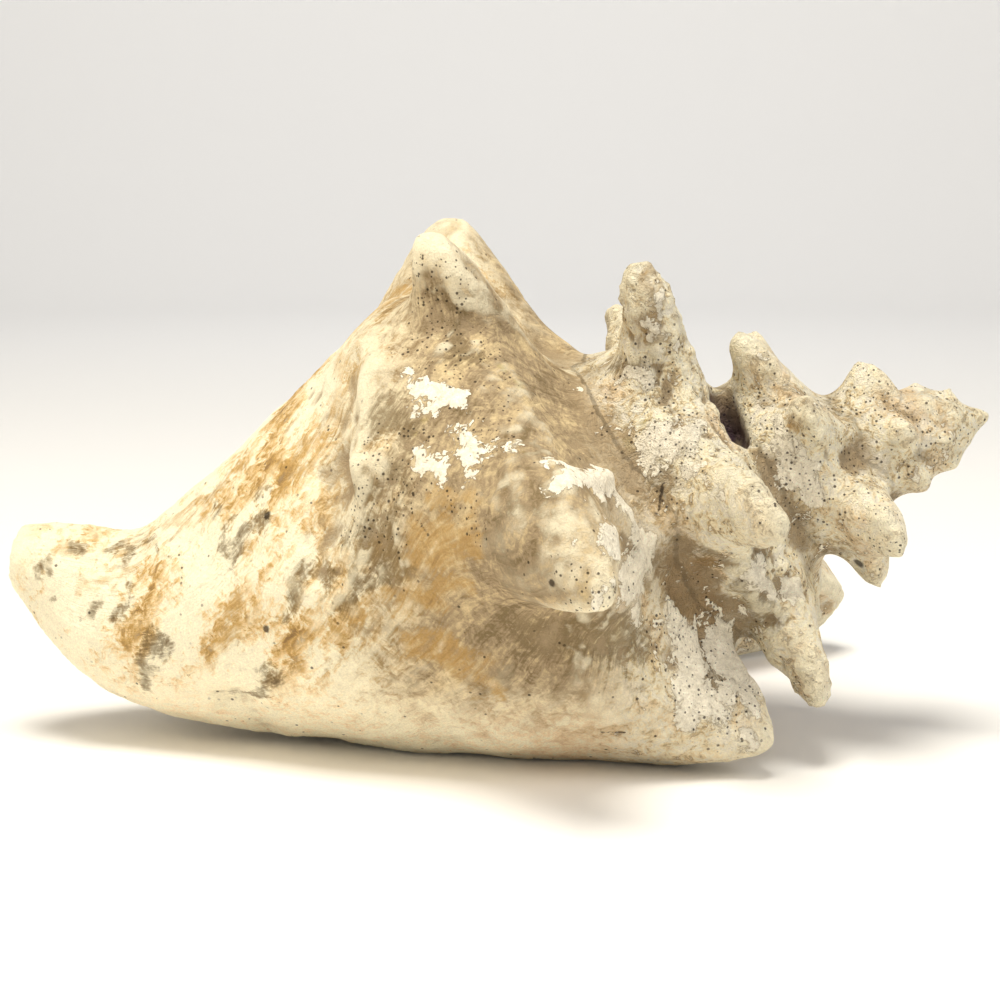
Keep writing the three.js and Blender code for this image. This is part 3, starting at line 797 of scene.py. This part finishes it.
def shellFinish():
    finish = bpy.data.materials.new("weatheredShell")
    finish.use_nodes = True
    tree = finish.node_tree
    tree.nodes.clear()
    start = Wire(tree)
    colour = {name: linear(code) for name, code in finishColours.items()}

    def mix(first, second, share):
        first, second = [colour[c] if isinstance(c, str) else c for c in (first, second)]
        return start.wire("ShaderNodeMix", {"data_type": "RGBA"}, {0: share, 6: first, 7: second}, 2)

    def ramp(name, value):
        stops = [(place, colour[tint]) for place, tint in groundRamps[name]]
        return start.wire("ShaderNodeValToRGB", {"stops": stops}, {0: value})

    def kept(name):
        return start.wire("ShaderNodeAttribute", {"attribute_name": name}, {}, "Fac")

    spot = start.wire("ShaderNodeTexCoord", {}, {}, "Object").vector("SCALE", {"Scale": 1000.0})
    bent = spot.bent(0.2, 6.0)
    x, y, z = spot.parts()
    turn, drop, worn, proud = kept("turn"), kept("drop"), kept("worn"), kept("proud")
    broad, patches = spot.noise(0.04, 2.0), bent.noise(0.15, 4.0, 0.65)
    flecks, grain = bent.noise(0.6, 4.0, 0.65), spot.noise(2.4, 2.0, 0.6)
    lines = (turn * 60.0 + drop * 0.16 + broad * 0.8).joined(drop * 0.03, 0.0)
    slant = (x * 0.1 - z * 0.05 + patches * 0.4).joined(x * 0.018 + z * 0.036, y * 0.03)
    calm = 1.0 - proud.smooth(0.5, 3.0) * 0.85  # no growth lines on the knobs
    streaks, fibres = lines.noise(0.9, 4.0, 0.65) * calm, lines.noise(6.0, 2.0, 0.6) * calm
    old = kept("old").most((x + patches * 10.0).smooth(18.0, 34.0) * 0.8)  # the shoulder beside the spire too
    # the warm zone takes the light left tones too, partly as painted light on the knob behind
    left = (1.0 - (x + patches * 12.0).smooth(-42.0, -8.0)).most(kept("warm"))
    low = 1.0 - (z + patches * 6.0).smooth(6.0, 28.0)
    streaks = streaks + (slant.noise(1.0, 4.0, 0.65) - streaks) * left

    # ground colours of the left, the front, the underside and the spire
    tone = ramp("front", 0.7 + patches * 0.35 + flecks * 0.35 + fibres * 0.25 + broad * 0.3 + streaks * 0.4)
    tone = mix(tone, ramp("left", 0.5 + streaks * 0.75 + broad * 0.2 + flecks * 0.35 + fibres * 0.1), left)
    shaded = x.smooth(-20.0, 40.0) * 0.25
    tone = mix(tone, ramp("low", 0.22 + shaded + patches * 0.4 + fibres * 0.2 + flecks * 0.3), low)
    tone = mix(tone, ramp("old", 0.35 + patches * 0.6 + flecks * 0.55 + grain * 0.25), old)
    tone = mix(tone, "clay", (broad + patches * 0.7).smooth(-0.05, 0.5) * old * 0.6)

    # ochre streaks along the growth lines, and short dark dashes among them
    stripes = kept("ochre") * 0.9 + streaks * 0.5 + fibres * 0.4 + flecks * 0.3
    tone = mix(tone, "tan", stripes.smooth(0.4, 1.05) * 0.75)
    tone = mix(tone, "brown", stripes.smooth(0.85, 1.5) * 0.7)
    dashes = fibres + patches * 0.4 + kept("ochre") * 0.2 + kept("grime") * 0.3
    tone = mix(tone, "brown", dashes.smooth(0.55, 0.85) * (1.0 - old) * 0.45)

    # stains and algae, then dirt with painted shade in the hollows and under the knobs
    stain = kept("stain") + flecks * 0.5 + fibres * 0.35 + patches * 0.3
    tone = mix(tone, "soot", (flecks + patches * 0.4).smooth(0.6, 0.9) * left * 0.5)
    tone = mix(tone, "ash", stain.smooth(0.5, 1.05) * 0.75)
    tone = mix(tone, "soot", stain.smooth(0.9, 1.4) * 0.7)
    tone = mix(tone, "olive", (kept("olive") + flecks * 0.4 + patches * 0.3).smooth(0.45, 0.95) * 0.6)
    # ash over the grime zones: dirt, and painted shade under the knobs
    tone = mix(tone, "ash", (kept("grime") * 0.8 + flecks * 0.5 + fibres * 0.4).smooth(0.2, 0.85) * 0.8)
    # painted shade: hollows and creases darker; painted highlight: knobs, ridges and fine edges lighter
    tone = mix(tone, "drab", (flecks * 0.8 - proud).smooth(-0.2, 2.4) * (0.75 - low * 0.5))
    tone = mix(tone, "drab", (flecks * 0.15 - worn).smooth(0.04, 0.4) * (0.85 - low * 0.6))
    tone = mix(tone, "ivory", (proud + flecks).smooth(1.5, 4.5) * 0.7)
    tone = mix(tone, "ivory", (worn + flecks * 0.15).smooth(0.1, 0.45) * 0.55)
    tone = mix(tone, "brown", (kept("ochre") + flecks * 0.5 + grain * 0.3).smooth(0.4, 1.1) * old * 0.55)

    # chalky crust with a darker border
    rim = kept("crust") + patches * 0.4 + flecks * 0.55
    rim = rim.most(old * 0.3 + patches * 0.5 + flecks * 0.3)
    crust = rim.smooth(0.5, 0.56)
    tone = mix(tone, "drab", rim.smooth(0.38, 0.48) * 0.5)
    tone = mix(tone, "chalk", crust * (0.9 + flecks * 0.5).held())

    # pinholes, marks and cracks
    holes, chance = spot.cells(0.95)
    zone = (kept("pits") * 1.4 + old * 0.3 + patches * 0.7).smooth(0.3, 0.8)
    wide = 0.15 + chance * chance * 0.28
    hole = (1.0 - holes.smooth(wide * 0.55, wide)) * (chance + zone * 0.85).smooth(0.97, 1.0)
    wobbly = spot.vector("ADD", {1: flecks * 0.8})
    dark = hole
    for first, second, width in darkMarks:
        dark = (1.0 - wobbly.gap(first, second).smooth(width * 0.7, width * 1.4)).most(dark)
    tone = mix(tone, "pit", dark * 0.85)

    # mottling, then the glossy inside behind the worn lip
    shade = 1.0 + flecks * 0.15 + grain * 0.2 + fibres * 0.08
    tone = start.wire("ShaderNodeVectorMath", {"operation": "SCALE"}, {0: tone, "Scale": shade})
    inside = kept("inside").held() * (1.0 - (turn + flecks * 0.02).smooth(0.4, 0.48))
    tone = mix(tone, "pink", inside * (0.9 + broad * 0.2).held())
    tone = mix(tone, "violet", kept("slit").held())
    rough = (0.85 + crust * 0.08 - low * 0.12) * (1.0 - inside) + 0.28 * inside
    relief = flecks * (0.24 + old * 0.6) + grain * (0.07 + old * 0.16) + fibres * 0.14 + crust * 0.24
    relief = start.wire(
        "ShaderNodeBump", {}, {"Height": relief * (1.0 - inside), "Distance": 0.001, "Strength": 1.0}
    )
    skin = start.wire(
        "ShaderNodeBsdfPrincipled",
        {},
        {"Base Color": tone, "Roughness": rough, "Normal": relief, "Specular IOR Level": 0.3},
    )
    start.node("ShaderNodeOutputMaterial", {}, {"Surface": skin})
    return finish


shell = bpy.data.objects.new("conchShell", growth.data.copy())
bpy.context.collection.objects.link(shell)
remesh = shell.modifiers.new("oneSkin", "REMESH")
remesh.mode = "VOXEL"
remesh.voxel_size = growthDetail["voxel"]
giveNodes(shell, carryTree(), {"Growth": growth})
plainMesh(shell, "conchShell")
hidden = shell.data.attributes["under"].data  # fewer faces where the hollow hides them
group = shell.vertex_groups.new(name="under")
group.add([i for i, value in enumerate(hidden) if value.value > 0.5], 1.0, "REPLACE")
fewer = shell.modifiers.new("fewer", "DECIMATE")
fewer.ratio = growthDetail["keptShare"]
fewer.vertex_group = group.name
giveNodes(shell, wearTree(shellFinish()), wearSettings)
plainMesh(shell, "conchShell")
shell.vertex_groups.clear()
bpy.data.objects.remove(growth)
print("shell weathered:", len(shell.data.polygons), "faces")
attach(shell, "root")
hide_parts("shell")


studio = {
    "target": (0.0014, -0.0107, 0.0565),
    "distance": 0.504,
    "azimuth": 1.0,
    "elevation": 8.6,
    "lens": 78.4,
    "floor": "#fbfaf8",
    "floorRadius": 1.6,
    "floorSides": 96,
    "coveRadius": 0.6,
    "wallHeight": 1.4,
    "sky": "#f6f6f8",
    "fill": 0.2,
    "lamps": {  # place, aim, size, power and colour
        "overhead": ((-0.1, -0.25, 1.25), (0.0, 0.0, 0.05), 0.5, 14.5, "#fffaee"),
        "warmSide": ((-0.8, -0.7, 1.0), (0.0, 0.0, 0.05), 1.0, 5.0, "#fff2de"),
        "rightFill": ((1.0, -0.5, 0.9), (0.0, 0.0, 0.05), 0.8, 4.6, "#fbfbff"),
        "backdrop": ((0.0, 1.2, 1.1), (0.0, 2.2, 0.1), 1.0, 4.5, "#f8faff"),
    },
}


def buildStudio():
    target = Vector(studio["target"])
    turn, lift = math.radians(studio["azimuth"]), math.radians(studio["elevation"])
    back = Vector((math.sin(turn) * math.cos(lift), -math.cos(turn) * math.cos(lift), math.sin(lift)))
    camera = bpy.data.objects.new("camera", bpy.data.cameras.new("camera"))
    camera.data.lens = studio["lens"]
    camera.data.sensor_width = 36.0
    camera.location = target + back * studio["distance"]
    camera.rotation_euler = back.to_track_quat("Z", "Y").to_euler()
    bpy.context.collection.objects.link(camera)
    bpy.context.scene.camera = camera

    floor = bpy.data.objects.new("floor", bpy.data.meshes.new("floor"))
    bend, sides = studio["coveRadius"], studio["floorSides"]
    sweep = []  # the round floor from the side, rolled up into a low wall
    for step in range(19):
        rolled = math.radians(5.0 * step)
        sweep.append((studio["floorRadius"] + bend * math.sin(rolled), bend - bend * math.cos(rolled)))
    sweep.append((studio["floorRadius"] + bend, studio["wallHeight"]))
    around = [2.0 * math.pi * side / sides for side in range(sides)]
    corners = [(out * math.cos(a), out * math.sin(a), z) for out, z in sweep for a in around]
    faces = [list(range(sides))]
    for row in range(len(sweep) - 1):
        for side in range(sides):
            low, after = row * sides, (side + 1) % sides
            faces.append((low + after, low + side, low + sides + side, low + sides + after))
    floor.data.from_pydata(corners, [], faces)
    floor.data.shade_smooth()
    paper = bpy.data.materials.new("paleFloor")
    paper.use_nodes = True
    paper.node_tree.nodes.clear()
    start = Wire(paper.node_tree)
    matt = start.wire("ShaderNodeBsdfDiffuse", {}, {"Color": linear(studio["floor"])})
    start.node("ShaderNodeOutputMaterial", {}, {"Surface": matt})
    floor.data.materials.append(paper)
    bpy.context.collection.objects.link(floor)

    world = bpy.data.worlds.new("studio")
    world.use_nodes = True
    world.node_tree.nodes["Background"].inputs["Color"].default_value = linear(studio["sky"])
    world.node_tree.nodes["Background"].inputs["Strength"].default_value = studio["fill"]
    bpy.context.scene.world = world

    for name, (spot, aim, size, power, tint) in studio["lamps"].items():
        light = bpy.data.objects.new(name, bpy.data.lights.new(name, "AREA"))
        light.data.size = size
        light.data.energy = power
        light.data.color = linear(tint)[:3]
        light.location = spot
        light.rotation_euler = (Vector(spot) - Vector(aim)).to_track_quat("Z", "Y").to_euler()
        bpy.context.collection.objects.link(light)


buildStudio()
bpy.context.scene.view_settings.view_transform = "Standard"
print("studio built")
